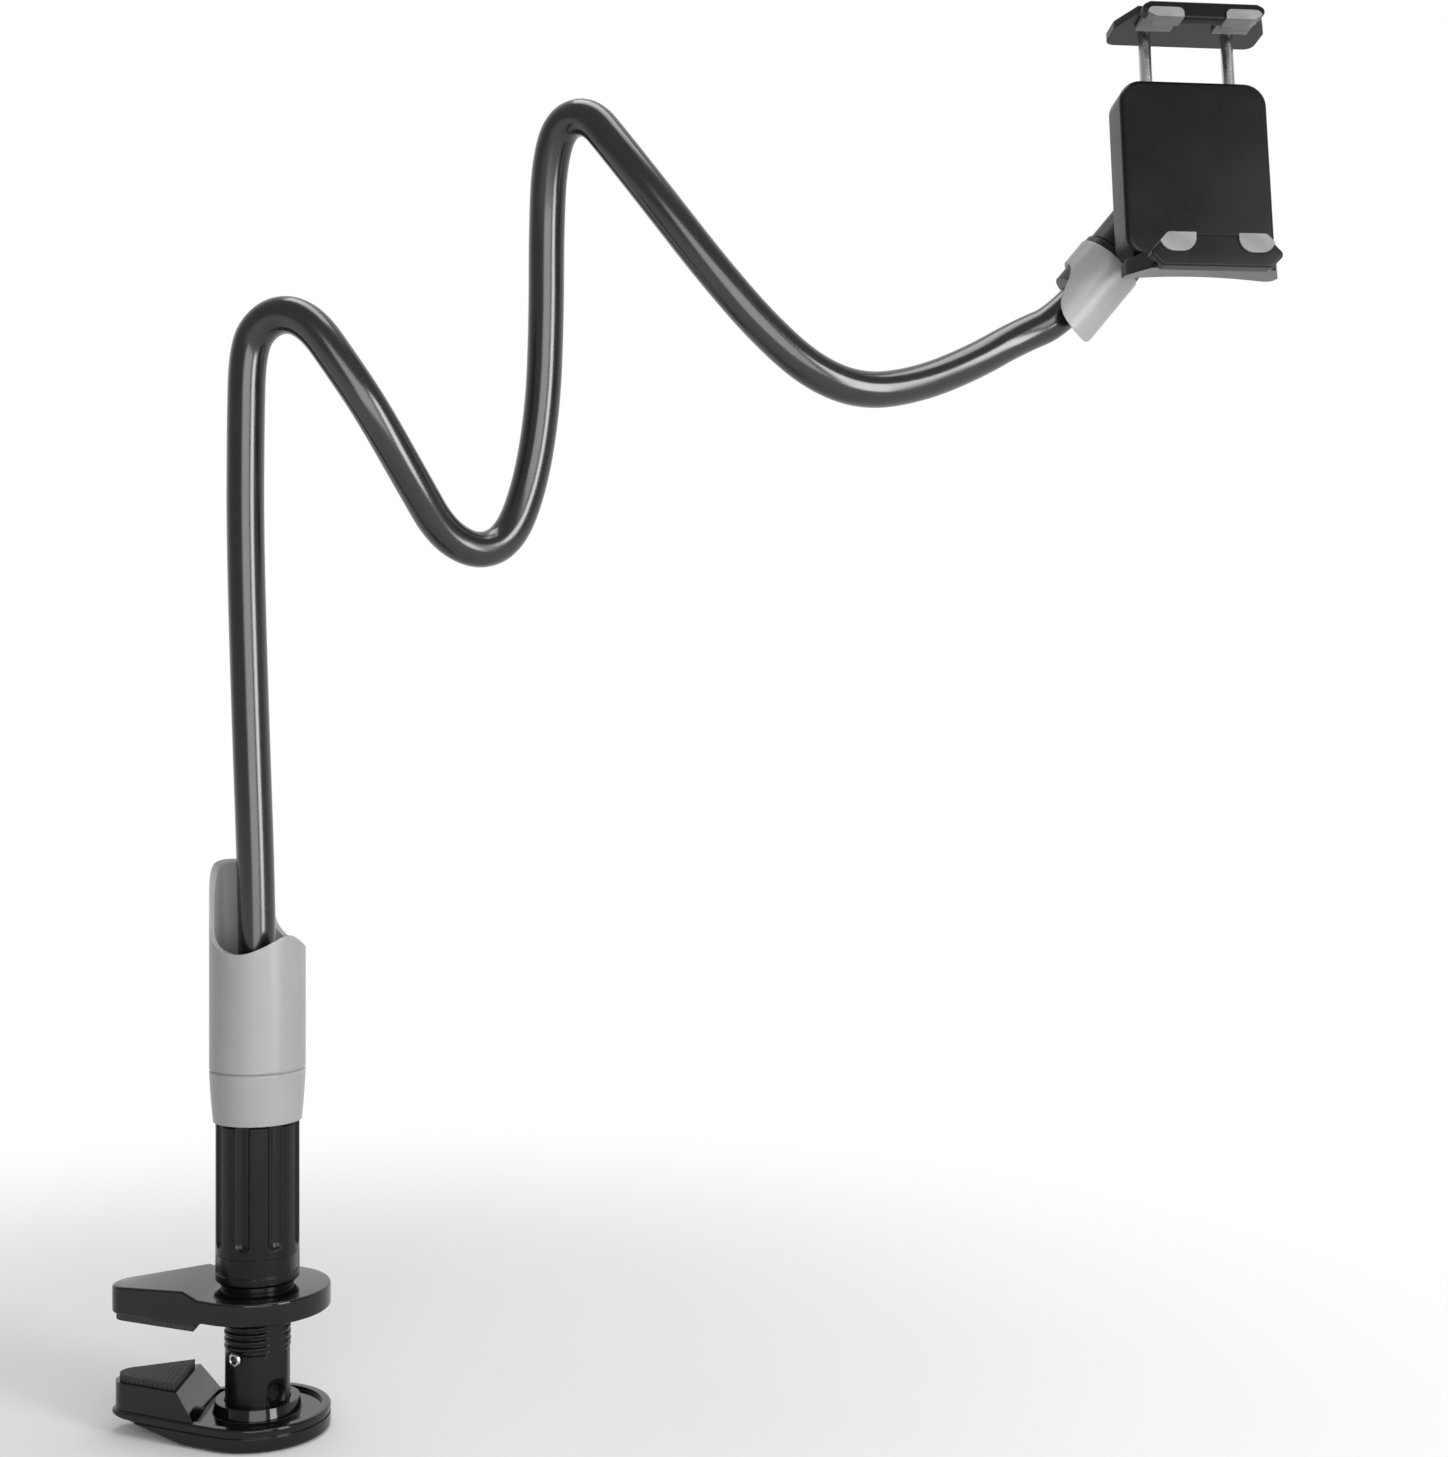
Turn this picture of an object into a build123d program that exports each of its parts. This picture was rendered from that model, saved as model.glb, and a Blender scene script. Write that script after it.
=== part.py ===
"""Phone gooseneck holder: a screw clamp for a table edge, a bendable arm, a ball joint and a sprung clip.

Millimetres, +Z up. The origin lies on the clamp post's axis, level with the underside of the clamped table.
The clamp's nose points along -X, the arm leaves to +X, and the phone faces -Y.
"""

import os
from math import cos, radians, sin, tan

from build123d import *

os.makedirs("parts", exist_ok=True)

# Fits
running = 0.06
loose = 0.3
seat = 0.1

# Clamp jaws
table_gap = 16.5
jaw_round_r = 21.4
jaw_tip_r = 6.5
jaw_reach = 43.0
nose_start = 15.0
lower_jaw_depth = 17.0
lower_rim_t = 7.0
lower_tip_rise = 6.4
lower_ramp = 5.5
block_inset = 1.0
rim_groove = 0.6
rim_groove_h = 0.7
rim_cap_h = 2.0
dish_inset = 2.6
dish_depth = 1.0
foot_boss_r = 13.0
foot_boss_h = 3.5
foot_floor = 2.5
pad_t = 2.0
pad_inset = 1.2
upper_round_t = 6.6
upper_nose_lift = 2.0
upper_tip_lift = 0.3
upper_nose_drop = 0.9
jaw_edge = 0.7
foot_edge = 1.5

# Clamp post
post_r = 9.7
post_flat = 8.6
post_flat_turn = -39.0
post_hole_r = 3.3
post_hole_depth = 3.0
post_hole_z = -5.0
stop_screw_r = 2.1
stop_screw_head = 1.0
stop_screw_len = 6.0
stop_screw_z = 6.2
stop_screw_turn = -117.0
jaw_travel_down = 10.4

# Knob, a long nut on the post
washer_r = 10.6
washer_t = 1.6
knob_r = 12.2
knob_h = 47.4
knob_ring_h = 2.8
knob_band_h = 5.6
knob_edge = 0.8
knob_top_wall = 4.5
knob_flutes = 8
knob_flute_turn = -97.5
flute_cut_r = 3.0
flute_depth = 1.2
flute_start = 11.5
band_flat_depth = 0.7

# Arm root, which turns in the top of the knob
spigot_r = 8.0
spigot_tail = 2.6
ring_t = 1.2
ring_r = 9.0
ring_depth = 1.0
flange_r = 11.4
flange_t = 3.0
plug_r = 9.0
plug_h = 38.0
core_seat = 8.0
arm_seat = 17.0

# Base sleeve
sleeve_foot_r = 12.9
sleeve_r = 14.0
sleeve_wall = 1.5
sleeve_ring_h = 15.2
sleeve_collar_h = 14.0
seam_edge = 0.5
sleeve_low = 50.3
sleeve_shoulder = 6.5
sleeve_tongue = 26.6
tongue_turn = 141.0

# Gooseneck
arm_r = 5.5
arm_core_r = 3.5
arm_bend = 0.96

# The arm's corners from its root in the plug: straight up, over two crests and through two dips to the head
arm_route = [
    (0, 0, 0),
    (0, 0, 42),
    (-2.2, 0, 103),
    (-3.7, 0, 155),
    (-3.6, 0, 188),
    (-2.7, -1.5, 211.8),
    (2.6, -4.4, 219.2),
    (10.4, -7, 221.4),
    (18.4, -8.8, 217.4),
    (26.5, -9.3, 206),
    (35.5, -8, 192.5),
    (46, 1, 172.5),
    (53.4, 10.6, 158),
    (63.6, 17.6, 152.6),
    (72.6, 24, 158),
    (78.6, 27.8, 176),
    (82.3, 28, 200),
    (83.6, 24.6, 226),
    (84, 20.8, 252),
    (85.4, 15, 271.5),
    (89.4, 10.6, 282.6),
    (98.4, 5, 283.4),
    (106.4, 1.4, 272.8),
    (120, -2, 254.8),
    (135, -2, 235.5),
    (150.5, 0, 218),
    (165.5, 3, 205.3),
    (181, 9, 200.6),
    (198.5, 17, 204.4),
    (216, 25, 212.6),
    (230.5, 30, 221.4),
    (245, 31, 227.6),
    (259.8, 31, 245.4),
]

# Ball joint, measured along the socket's axis from the ball's centre
ball_r = 7.0
neck_r = 3.0
neck_bead_r = 3.7
neck_bead_t = 1.4
neck_bead_at = 14.5
neck_len = 20.0
arm_end_to_ball = 30.0
cup_wall = 1.3
cup_rim = 1.0
cup_slot = 1.2
cup_slot_depth = 9.0
nut_r = 10.4
nut_bottom = 12.4
nut_lip = 1.0
nut_lip_r = 7.95
nut_scallops = 16
nut_scallop_r = 1.2
nut_scallop_depth = 0.5
socket_r = 9.6
socket_flange_r = 10.3
socket_flange_t = 2.2
socket_groove = 0.7
socket_plug_h = 14.0
socket_core_seat = 8.0
head_sleeve_r = 10.8
head_sleeve_wall = 1.3
head_sleeve_start = 31.0
head_sleeve_low = 8.5
head_sleeve_tongue = 25.6
head_tongue_turn = -57.0

# Phone clip, drawn round the middle of a phone that lies in it
phone_w = 71.5
phone_t = 7.4
clip_pitch = -8.0
clip_yaw = 6.0
clip_roll = -1.0
ball_back = 26.9
ball_drop = 3.8
neck_down = 47.0
housing_w = 46.0
housing_h = 56.0
housing_t = 11.5
housing_corner = 7.0
housing_edge = 1.5
cover_t = 2.0
cover_rim = 1.8
boss_r = 6.4
boss_start = 10.6
rod_r = 1.9
rod_inset = 10.0
rod_len = 54.0
rod_head_r = 3.2
rod_head_t = 2.0
rod_seat = 1.2
channel_r = 3.6
channel_floor = 1.6
guide_wall = 6.0
spring_r = 2.75
spring_wire_r = 0.4
spring_turns = 6
spring_end = 0.5
screw_r = 1.1
screw_head_r = 1.9
screw_head_t = 1.2
screw_len = 6.0
screw_side_inset = 4.4
screw_end_inset = 7.0

# Phone jaws
jaw_front_w = 38.0
jaw_rear_w = 47.0
jaw_flare_y = 5.0
jaw_corner = 3.0
clip_jaw_edge = 0.6
lip_t = 4.0
lip_top_w = 30.0
lip_mid_w = 41.0
lip_low_w = 33.0
lip_mid_share = 0.6
lip_corner = 1.6
lower_lip_overlap = 2.5
lower_lip_h = 10.0
lower_rear_t = 1.6
lower_slope = 11.0
lower_arch = 1.4
lower_rear_inset = 3.5
upper_lip_overlap = 2.0
upper_lip_h = 5.2
upper_rear_t = 2.0
upper_slope = 0.0
upper_arch = 0.4
clip_pad_w = 11.0
clip_pad_spread = 24.0
clip_pad_t = 1.2
clip_pad_proud = 0.6
clip_pad_wrap = 0.58
clip_pad_foot = 0.95

# Heights that follow from the sizes above
lower_bottom = -lower_jaw_depth
rim_top = lower_bottom + lower_rim_t
dish_floor = rim_top - dish_depth
nose_under = table_gap + pad_t
upper_bottom = nose_under + upper_nose_drop
upper_top = upper_bottom + upper_round_t
knob_bottom = upper_top + washer_t
knob_top = knob_bottom + knob_h
spigot_bottom = knob_top - knob_top_wall - spigot_tail
post_bottom = lower_bottom + foot_floor
post_top = spigot_bottom - jaw_travel_down - 1
root_z = knob_top + seat
seam_z = root_z + sleeve_ring_h
nose_tip_x = jaw_tip_r - jaw_reach


def jaw_plan(inset=0.0):
    """Teardrop outline of both clamp jaws, drawn into the open sketch."""
    Circle(jaw_round_r - inset)
    with Locations((nose_tip_x, 0)):
        Circle(jaw_tip_r - inset)
    make_hull()


def nose_plan(inset, start=nose_start):
    """The part of the teardrop that lies under or over the table's edge."""
    jaw_plan(inset)
    with Locations((-start - jaw_reach, 0)):
        Rectangle(2 * jaw_reach, 2 * jaw_reach, mode=Mode.INTERSECT)


def post_section(gap=0.0):
    """Round post with two flats, which keep the upper jaw from turning."""
    Circle(post_r + gap)
    Rectangle(2 * (post_flat + gap), 3 * post_r, rotation=post_flat_turn, mode=Mode.INTERSECT)


def turn_direction(angle):
    """Level direction at an angle from +X."""
    return Vector(cos(radians(angle)), sin(radians(angle)), 0)


# Lower jaw: a dished foot with a groove round its rim and a block that reaches the table
with BuildPart() as lower_jaw:
    cap_bottom = rim_top - rim_cap_h
    groove_bottom = cap_bottom - rim_groove_h
    with BuildSketch(Plane.XY.offset(lower_bottom)):
        jaw_plan()
    extrude(amount=groove_bottom - lower_bottom)
    fillet(lower_jaw.faces().sort_by(Axis.Z)[0].edges(), radius=foot_edge)
    with BuildSketch(Plane.XY.offset(groove_bottom)):
        jaw_plan(rim_groove)
    extrude(amount=rim_groove_h)
    with BuildSketch(Plane.XY.offset(cap_bottom)):
        jaw_plan()
    extrude(amount=rim_cap_h)
    fillet(lower_jaw.faces().sort_by(Axis.Z)[-1].edges(), radius=jaw_edge)
    with BuildSketch(Plane.XY.offset(dish_floor)):
        jaw_plan(dish_inset)
    extrude(amount=dish_depth, mode=Mode.SUBTRACT)
    with BuildSketch(Plane.XY.offset(dish_floor)):
        nose_plan(block_inset)
    extrude(amount=-pad_t - dish_floor)
    with BuildSketch(Plane.XZ):
        with BuildLine():
            Polyline(
                (-nose_start, rim_top),
                (-nose_start + 1, rim_top),
                (-nose_start + 1, 0),
                (-nose_start - lower_ramp, 0),
                (-nose_start - lower_ramp, -pad_t),
                close=True,
            )
        make_face()
    extrude(amount=jaw_reach, both=True, mode=Mode.SUBTRACT)
    with BuildSketch(Plane.XY.offset(dish_floor)):
        Circle(foot_boss_r)
    extrude(amount=foot_boss_h, taper=12)
    with BuildSketch(Plane.XZ):
        with BuildLine():
            Polyline(
                (-nose_start, lower_bottom),
                (-jaw_reach - 1, lower_bottom),
                (-jaw_reach - 1, lower_bottom + lower_tip_rise),
                close=True,
            )
        make_face()
    extrude(amount=jaw_reach, both=True, mode=Mode.SUBTRACT)
    with BuildSketch(Plane.XY.offset(post_bottom)):
        post_section()
    extrude(amount=lower_jaw_depth, mode=Mode.SUBTRACT)
lower_jaw.part.label = "lower_jaw"
export_step(lower_jaw.part, "parts/lower_jaw.step")

with BuildPart() as lower_pad:
    with BuildSketch(Plane.XY.offset(-pad_t)):
        nose_plan(block_inset + pad_inset, nose_start + lower_ramp + pad_inset)
    extrude(amount=pad_t)
lower_pad.part.label = "lower_pad"
export_step(lower_pad.part, "parts/lower_pad.step")

# Post: its flats run the whole way, with a moulding hole near the foot and a stop screw above it
flat_face = Plane(
    turn_direction(post_flat_turn) * post_flat + Vector(0, 0, post_hole_z),
    x_dir=(0, 0, 1),
    z_dir=turn_direction(post_flat_turn),
)
stop_face = Plane(
    turn_direction(stop_screw_turn) * post_r + Vector(0, 0, stop_screw_z),
    x_dir=(0, 0, 1),
    z_dir=turn_direction(stop_screw_turn),
)

with BuildPart() as clamp_post:
    with BuildSketch(Plane.XY.offset(post_bottom)):
        post_section()
    extrude(amount=post_top - post_bottom)
    with BuildSketch(flat_face):
        Circle(post_hole_r)
    extrude(amount=-post_hole_depth, mode=Mode.SUBTRACT)
    with BuildSketch(stop_face):
        Circle(stop_screw_r / 2)
    extrude(amount=-stop_screw_len, mode=Mode.SUBTRACT)
    chamfer(clamp_post.faces().sort_by(Axis.Z)[-1].edges(), length=jaw_edge)
clamp_post.part.label = "clamp_post"
export_step(clamp_post.part, "parts/clamp_post.step")

with BuildPart() as stop_screw:
    with BuildSketch(stop_face):
        Circle(stop_screw_r)
    extrude(amount=stop_screw_head)
    with BuildSketch(stop_face):
        Circle(stop_screw_r / 2)
    extrude(amount=-stop_screw_len)
    with BuildSketch(stop_face.offset(stop_screw_head)):
        Circle(stop_screw_r / 2)
    extrude(amount=-stop_screw_head / 2, mode=Mode.SUBTRACT)
stop_screw.part.label = "stop_screw"
export_step(stop_screw.part, "parts/stop_screw.step")

# Upper jaw: the same teardrop, thicker at the nose, with a keyed hole for the post
with BuildPart() as upper_jaw:
    with BuildSketch(Plane.XY.offset(nose_under)):
        jaw_plan()
    extrude(amount=upper_top + upper_nose_lift - nose_under)
    with BuildSketch(Plane.XZ):
        with BuildLine():
            Polyline(
                (jaw_round_r + 1, upper_bottom),
                (jaw_round_r + 1, upper_top),
                (-knob_r - 1, upper_top),
                (-knob_r - 6, upper_top + upper_nose_lift),
                (-jaw_reach - 1, upper_top + upper_tip_lift),
                (-jaw_reach - 1, nose_under),
                (-nose_start, nose_under),
                (-nose_start + 3, upper_bottom),
                close=True,
            )
        make_face()
    extrude(amount=jaw_reach, both=True, mode=Mode.INTERSECT)
    outline = upper_jaw.edges().filter_by(Axis.Z, reverse=True).filter_by(Axis.Y, reverse=True)
    fillet(outline, radius=jaw_edge)
    with BuildSketch(Plane.XY.offset(nose_under - 1)):
        post_section(running)
    extrude(amount=upper_top - nose_under + 2, mode=Mode.SUBTRACT)
upper_jaw.part.label = "upper_jaw"
export_step(upper_jaw.part, "parts/upper_jaw.step")

with BuildPart() as upper_pad:
    with BuildSketch(Plane.XY.offset(table_gap)):
        nose_plan(pad_inset)
    extrude(amount=pad_t)
upper_pad.part.label = "upper_pad"
export_step(upper_pad.part, "parts/upper_pad.step")

with BuildPart() as thrust_washer:
    with BuildSketch(Plane.XY.offset(upper_top)):
        Circle(washer_r)
        Circle(post_r + loose, mode=Mode.SUBTRACT)
    extrude(amount=washer_t)
thrust_washer.part.label = "thrust_washer"
export_step(thrust_washer.part, "parts/thrust_washer.step")

# Knob: five wide flutes with round lower ends, a band of flats and a foot ring
with BuildPart() as clamp_knob:
    with BuildSketch(Plane.XY.offset(knob_bottom)):
        Circle(knob_r)
    extrude(amount=knob_h)
    chamfer(clamp_knob.edges().filter_by(GeomType.CIRCLE), length=knob_edge)
    band_z = knob_bottom + knob_ring_h
    with PolarLocations(knob_r - band_flat_depth + knob_r, knob_flutes, start_angle=knob_flute_turn):
        with Locations((0, 0, band_z)):
            Box(
                2 * knob_r,
                2 * knob_r,
                knob_band_h,
                align=(Align.CENTER, Align.CENTER, Align.MIN),
                mode=Mode.SUBTRACT,
            )
    flute_z = knob_bottom + flute_start + flute_cut_r / 2
    with PolarLocations(knob_r - flute_depth + flute_cut_r, knob_flutes, start_angle=knob_flute_turn):
        with Locations((0, 0, flute_z)):
            Sphere(flute_cut_r, mode=Mode.SUBTRACT)
            Cylinder(
                flute_cut_r,
                knob_h,
                align=(Align.CENTER, Align.CENTER, Align.MIN),
                mode=Mode.SUBTRACT,
            )
    with BuildSketch(Plane.XY.offset(knob_bottom)):
        Circle(post_r + running)
    extrude(amount=knob_h - knob_top_wall, mode=Mode.SUBTRACT)
    with BuildSketch(Plane.XY.offset(knob_bottom)):
        Circle(spigot_r + running)
    extrude(amount=knob_h, mode=Mode.SUBTRACT)
clamp_knob.part.label = "clamp_knob"
export_step(clamp_knob.part, "parts/clamp_knob.step")

# Arm root: a spigot held in the knob by a spring ring, with a barrel that grips the arm
ring_z = knob_top - knob_top_wall - seat - ring_t

with BuildPart() as arm_root_plug:
    with BuildSketch(Plane.XZ):
        with BuildLine():
            Polyline(
                (0, spigot_bottom),
                (spigot_r, spigot_bottom),
                (spigot_r, ring_z),
                (spigot_r - ring_depth, ring_z),
                (spigot_r - ring_depth, ring_z + ring_t),
                (spigot_r, ring_z + ring_t),
                (spigot_r, root_z),
                (flange_r, root_z),
                (flange_r, root_z + flange_t),
                (plug_r, root_z + flange_t),
                (plug_r, root_z + plug_h),
                (arm_r + seat, root_z + plug_h),
                (arm_r + seat, root_z + arm_seat),
                (arm_core_r + seat, root_z + arm_seat),
                (arm_core_r + seat, root_z + core_seat),
                (0, root_z + core_seat),
                close=True,
            )
        make_face()
    revolve(axis=Axis.Z)
arm_root_plug.part.label = "arm_root_plug"
export_step(arm_root_plug.part, "parts/arm_root_plug.step")

with BuildPart() as swivel_ring:
    with BuildSketch(Plane.XY.offset(ring_z)):
        Circle(ring_r)
        Circle(spigot_r - ring_depth, mode=Mode.SUBTRACT)
        with Locations((-ring_r, 0)):
            Rectangle(ring_r, 2 * ring_t, mode=Mode.SUBTRACT)
    extrude(amount=ring_t)
swivel_ring.part.label = "swivel_ring"
export_step(swivel_ring.part, "parts/swivel_ring.step")

# Base sleeve: a tapered ring below the seam and a scooped tube above it
with BuildPart() as base_sleeve_ring:
    with BuildSketch(Plane.XZ):
        with BuildLine():
            ring_side = ThreePointArc(
                (sleeve_foot_r, root_z),
                ((sleeve_foot_r + sleeve_r) / 2 + seam_edge / 4, root_z + sleeve_ring_h / 2),
                (sleeve_r, seam_z - seam_edge),
            )
            Polyline(
                ring_side @ 1,
                (sleeve_r - seam_edge, seam_z),
                (plug_r + seat, seam_z),
                (plug_r + seat, root_z + flange_t + seat),
                (flange_r + seat, root_z + flange_t + seat),
                (flange_r + seat, root_z),
                ring_side @ 0,
            )
        make_face()
    revolve(axis=Axis.Z)
base_sleeve_ring.part.label = "base_sleeve_ring"
export_step(base_sleeve_ring.part, "parts/base_sleeve_ring.step")

tongue_plane = Plane(
    (0, 0, root_z + sleeve_low),
    x_dir=turn_direction(tongue_turn),
    z_dir=turn_direction(tongue_turn - 90),
)

with BuildPart() as base_sleeve:
    sleeve_top = root_z + sleeve_low + sleeve_tongue
    with BuildSketch(Plane.XZ):
        with BuildLine():
            Polyline(
                (plug_r + seat, seam_z),
                (sleeve_r - seam_edge, seam_z),
                (sleeve_r, seam_z + seam_edge),
                (sleeve_r, sleeve_top),
                (sleeve_r - sleeve_wall, sleeve_top),
                (sleeve_r - sleeve_wall, seam_z + sleeve_collar_h),
                (plug_r + seat, seam_z + sleeve_collar_h),
                close=True,
            )
        make_face()
    revolve(axis=Axis.Z)
    with BuildSketch(tongue_plane):
        with BuildLine():
            mouth = Spline(
                (1.02 * sleeve_r, sleeve_tongue),
                (0.88 * sleeve_r, 0.95 * sleeve_tongue),
                (0.72 * sleeve_r, 0.8 * sleeve_tongue),
                (0.57 * sleeve_r, 0.5 * sleeve_tongue),
                (0.4 * sleeve_r, 0.2 * sleeve_tongue),
                (0, 0.05 * sleeve_tongue),
                (-0.5 * sleeve_r, 0),
                (-0.84 * sleeve_r, 0.3 * sleeve_shoulder),
                (-1.02 * sleeve_r, sleeve_shoulder),
            )
            Polyline(
                mouth @ 1,
                (-1.02 * sleeve_r, sleeve_tongue + 2),
                (1.02 * sleeve_r, sleeve_tongue + 2),
                mouth @ 0,
            )
        make_face()
    extrude(amount=sleeve_r + 1, both=True, mode=Mode.SUBTRACT)
base_sleeve.part.label = "base_sleeve"
export_step(base_sleeve.part, "parts/base_sleeve.step")

# Gooseneck: a bendable metal rod in a soft jacket, swept round the same corners
arm_points = [Vector(*corner) + Vector(0, 0, root_z + arm_seat) for corner in arm_route]
head_axis = (arm_points[-1] - arm_points[-2]).normalized()
arm_end = arm_points[-1]


def bend_radii(points):
    """Largest radius that fits at each corner, so that neighbouring bends run into each other."""
    radii = []
    for before, corner, after in zip(points, points[1:], points[2:]):
        run_in = corner - before
        run_out = after - corner
        room = arm_bend * min(run_in.length, run_out.length) / 2
        radii.append(room / tan(radians(run_in.get_angle(run_out)) / 2))
    return radii


arm_radii = bend_radii(arm_points)

with BuildPart() as arm_jacket:
    with BuildLine():
        FilletPolyline(*arm_points, radius=arm_radii)
    with BuildSketch(Plane(arm_points[0], z_dir=arm_points[1] - arm_points[0])):
        Circle(arm_r)
        Circle(arm_core_r + seat, mode=Mode.SUBTRACT)
    sweep()
arm_jacket.part.label = "arm_jacket"
export_step(arm_jacket.part, "parts/arm_jacket.step")

core_start = arm_points[0] - (arm_points[1] - arm_points[0]).normalized() * (arm_seat - core_seat)
core_points = [core_start] + arm_points[1:-1] + [arm_end + head_axis * socket_core_seat]

with BuildPart() as arm_core:
    with BuildLine():
        FilletPolyline(*core_points, radius=arm_radii)
    with BuildSketch(Plane(core_start, z_dir=arm_points[1] - arm_points[0])):
        Circle(arm_core_r)
    sweep()
arm_core.part.label = "arm_core"
export_step(arm_core.part, "parts/arm_core.step")

# Ball joint: everything is turned about the socket's axis, with heights from the ball's centre
ball = arm_end + head_axis * arm_end_to_ball
across = Vector(0, 1, 0).cross(head_axis).normalized()
tongue_side = across * cos(radians(head_tongue_turn)) + Vector(0, 1, 0) * sin(radians(head_tongue_turn))
head_section = Plane(ball, x_dir=tongue_side, z_dir=tongue_side.cross(head_axis))
head_mouth_plane = Plane(
    ball - head_axis * head_sleeve_start,
    x_dir=tongue_side,
    z_dir=tongue_side.cross(head_axis),
)
head_turn = Axis(ball, head_axis)
cup_r = ball_r + running
cup_out_r = cup_r + cup_wall

with BuildPart() as head_sleeve:
    with BuildSketch(head_section):
        with Locations((head_sleeve_r - head_sleeve_wall / 2, -head_sleeve_start)):
            Rectangle(head_sleeve_wall, head_sleeve_tongue, align=(Align.CENTER, Align.MAX))
    revolve(axis=head_turn)
    with BuildSketch(head_mouth_plane):
        with BuildLine():
            head_mouth = Spline(
                (-1.02 * head_sleeve_r, -head_sleeve_low),
                (-0.3 * head_sleeve_r, -head_sleeve_low - 0.01 * head_sleeve_tongue),
                (0.17 * head_sleeve_r, -head_sleeve_low - 0.1 * head_sleeve_tongue),
                (0.54 * head_sleeve_r, -0.8 * head_sleeve_tongue),
                (0.85 * head_sleeve_r, -0.96 * head_sleeve_tongue),
                (1.02 * head_sleeve_r, -head_sleeve_tongue),
            )
            Polyline(
                head_mouth @ 1,
                (1.02 * head_sleeve_r, -1.1 * head_sleeve_tongue),
                (-1.02 * head_sleeve_r, -1.1 * head_sleeve_tongue),
                head_mouth @ 0,
            )
        make_face()
    extrude(amount=head_sleeve_r + 1, both=True, mode=Mode.SUBTRACT)
head_sleeve.part.label = "head_sleeve"
export_step(head_sleeve.part, "parts/head_sleeve.step")

plug_end = head_sleeve_start + socket_plug_h
flange_top = head_sleeve_start - socket_flange_t

with BuildPart() as ball_socket:
    with BuildSketch(head_section):
        with BuildLine():
            Polyline(
                (0, cup_rim),
                (cup_out_r, cup_rim),
                (cup_out_r, -nut_bottom - seat),
                (socket_r, -nut_bottom - seat),
                (socket_r, socket_groove - flange_top),
                (socket_r - socket_groove, -flange_top + socket_groove / 2),
                (socket_r - socket_groove, -flange_top),
                (socket_flange_r, -flange_top),
                (socket_flange_r, -head_sleeve_start),
                (head_sleeve_r - head_sleeve_wall, -head_sleeve_start),
                (head_sleeve_r - head_sleeve_wall, -plug_end),
                (arm_r + seat, -plug_end),
                (arm_r + seat, -arm_end_to_ball),
                (arm_core_r + seat, -arm_end_to_ball),
                (arm_core_r + seat, socket_core_seat - arm_end_to_ball),
                (0, socket_core_seat - arm_end_to_ball),
                close=True,
            )
        make_face()
    revolve(axis=head_turn)
    with Locations(Location(ball)):
        Sphere(cup_r, mode=Mode.SUBTRACT)
    slot_plane = Plane(ball + head_axis * cup_rim, x_dir=across, z_dir=head_axis)
    with BuildSketch(slot_plane):
        Rectangle(3 * ball_r, cup_slot)
        Rectangle(cup_slot, 3 * ball_r)
    extrude(amount=-cup_slot_depth, mode=Mode.SUBTRACT)
ball_socket.part.label = "ball_socket"
export_step(ball_socket.part, "parts/ball_socket.step")

with BuildPart() as lock_nut:
    with BuildSketch(head_section):
        with BuildLine():
            Polyline(
                (cup_out_r + loose, -nut_bottom),
                (nut_r - knob_edge, -nut_bottom),
                (nut_r, knob_edge - nut_bottom),
                (nut_r, cup_rim + seat),
                (nut_r - nut_lip, cup_rim + seat + nut_lip),
                (nut_lip_r + nut_lip / 4, cup_rim + seat + nut_lip),
                (nut_lip_r, cup_rim + seat),
                (cup_out_r + loose, cup_rim + seat),
                close=True,
            )
        make_face()
    revolve(axis=head_turn)
    with BuildSketch(Plane(ball + head_axis * -nut_bottom, x_dir=across, z_dir=head_axis)):
        with PolarLocations(nut_r - nut_scallop_depth + nut_scallop_r, nut_scallops):
            Circle(nut_scallop_r)
    extrude(amount=nut_bottom - nut_lip, mode=Mode.SUBTRACT)
lock_nut.part.label = "lock_nut"
export_step(lock_nut.part, "parts/lock_nut.step")

# Clip frame: x to the phone's right, y behind it, z up its short side
clip_axes = Plane.XY.rotated((clip_pitch, clip_roll, clip_yaw))
clip_middle = ball - clip_axes.y_dir * ball_back + clip_axes.z_dir * ball_drop
clip = Plane(clip_middle, x_dir=clip_axes.x_dir, z_dir=clip_axes.z_dir)
upside_down = Plane(clip_middle, x_dir=-clip_axes.x_dir, z_dir=-clip_axes.z_dir)
phone_back = phone_t / 2
housing_back = phone_back + housing_t
housing_low = -phone_w / 2
housing_mid = housing_low + housing_h / 2


def facing(base, y):
    """Plane across the clip at depth y, seen from the front: extrusions run towards the viewer."""
    return Plane(base.origin + base.y_dir * y, x_dir=base.x_dir, z_dir=-base.y_dir)


def beside(base, x):
    """Plane along the clip's side at width x, with depth as its first axis."""
    return Plane(base.origin + base.x_dir * x, x_dir=base.y_dir, z_dir=base.x_dir)


neck_dir = clip.z_dir * sin(radians(neck_down)) - clip.y_dir * cos(radians(neck_down))
neck_plane = Plane(ball, x_dir=clip.x_dir, z_dir=neck_dir)

with BuildPart() as ball_stud:
    with Locations(Location(ball)):
        Sphere(ball_r)
    with BuildSketch(neck_plane):
        Circle(neck_r)
    extrude(amount=neck_len)
    with BuildSketch(neck_plane.offset(neck_bead_at)):
        Circle(neck_bead_r)
    extrude(amount=neck_bead_t)
ball_stud.part.label = "ball_stud"
export_step(ball_stud.part, "parts/ball_stud.step")


def neck_hole(depth):
    """Cuts the bore for the ball's neck, with its snap groove, out of the open part."""
    with BuildSketch(neck_plane) as bore:
        Circle(neck_r + running)
    extrude(bore.sketch, amount=depth, mode=Mode.SUBTRACT)
    with BuildSketch(neck_plane.offset(neck_bead_at - running)) as groove:
        Circle(neck_bead_r + running)
    extrude(groove.sketch, amount=neck_bead_t + 2 * running, mode=Mode.SUBTRACT)


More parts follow.
